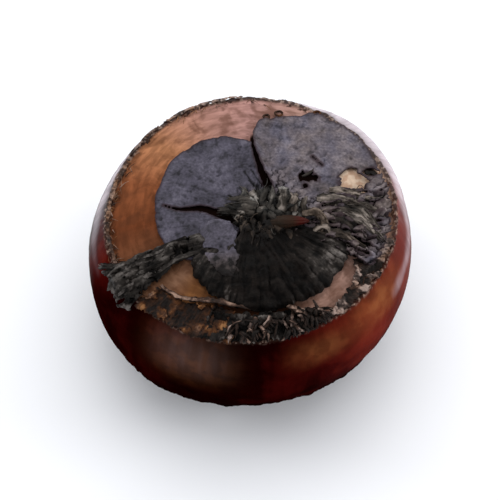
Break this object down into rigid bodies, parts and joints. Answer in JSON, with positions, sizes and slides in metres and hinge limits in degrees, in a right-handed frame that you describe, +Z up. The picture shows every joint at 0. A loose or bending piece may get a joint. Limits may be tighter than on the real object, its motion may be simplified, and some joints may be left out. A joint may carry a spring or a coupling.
{
  "type": "water chestnut",
  "caption": "Squat round corm with a low crown, torn papery scales, a withered tuft and a shoot tip, standing on its flat base.",
  "frame": {"origin": "bottom centre of the bounding box, on the surface that the flat base stands on", "axes": "+Z up through the crown, -Y towards the viewer of the picture, +X to the right"},
  "size_m": [0.0382, 0.0378, 0.0263],
  "materials": {
    "corm_skin": "glossy mahogany skin",
    "outer_scale_paper": "matte grey papery scale",
    "inner_scale_paper": "near-black dried scale",
    "ring_scale_paper": "brown frayed scale",
    "tuft_fibre": "withered dark fibre",
    "shoot_skin": "reddish-brown shoot"
  },
  "bodies": {
    "root": {"corm": "corm_skin", "outer_scale": "outer_scale_paper", "inner_scale": "inner_scale_paper", "torn_flap": "inner_scale_paper", "ring_scale_front_left": "ring_scale_paper", "ring_scale_front": "inner_scale_paper", "ring_scale_right": "ring_scale_paper", "ring_scale_left": "ring_scale_paper", "ring_scale_back": "ring_scale_paper", "tuft": "tuft_fibre", "shoot": "shoot_skin"}
  },
  "joints": []
}
